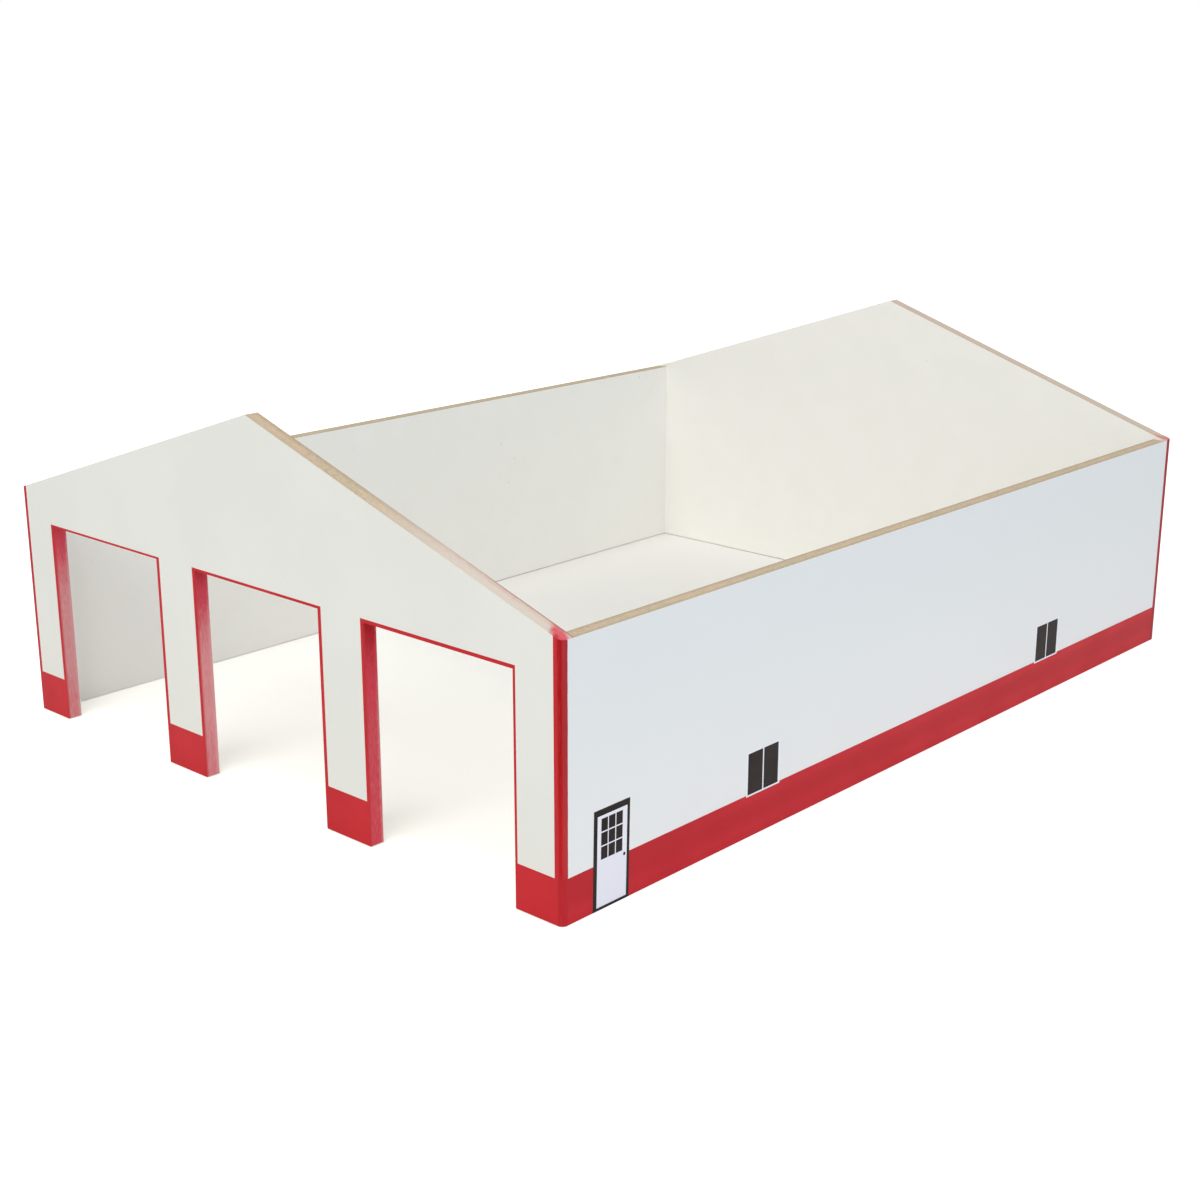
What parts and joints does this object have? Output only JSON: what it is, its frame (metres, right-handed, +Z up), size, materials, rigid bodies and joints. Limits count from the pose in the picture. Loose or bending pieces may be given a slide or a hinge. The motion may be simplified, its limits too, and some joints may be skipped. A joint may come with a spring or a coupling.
{
  "type": "toy machine shed",
  "caption": "Open-topped toy machine shed: four faced boards on edge, gabled front and rear, vehicle bays in the front gable, printed door and windows on one side.",
  "frame": {"origin": "on the ground, in the middle of the shed's plan", "axes": "+Z up, +Y from the bays to the rear gable, +X towards the side with the printed walk door"},
  "size_m": [0.3048, 0.4064, 0.146],
  "materials": {
    "fibreboard": "raw sawn edges, red paint soaked into the bay edges and the rounded corners",
    "printed_facing": "satin white printed facing with red trim and base band",
    "plain_liner": "smooth warm white",
    "brad_steel": "bright wire"
  },
  "bodies": {
    "root": {"front_gable_board": "fibreboard", "front_gable_facing": "printed_facing", "front_gable_liner": "plain_liner", "front_gable_brads": "brad_steel", "rear_gable_board": "fibreboard", "rear_gable_facing": "printed_facing", "rear_gable_liner": "plain_liner", "rear_gable_brads": "brad_steel", "left_side_board": "fibreboard", "left_side_facing": "printed_facing", "left_side_liner": "plain_liner", "right_side_board": "fibreboard", "right_side_facing": "printed_facing", "right_side_liner": "plain_liner"}
  },
  "joints": []
}
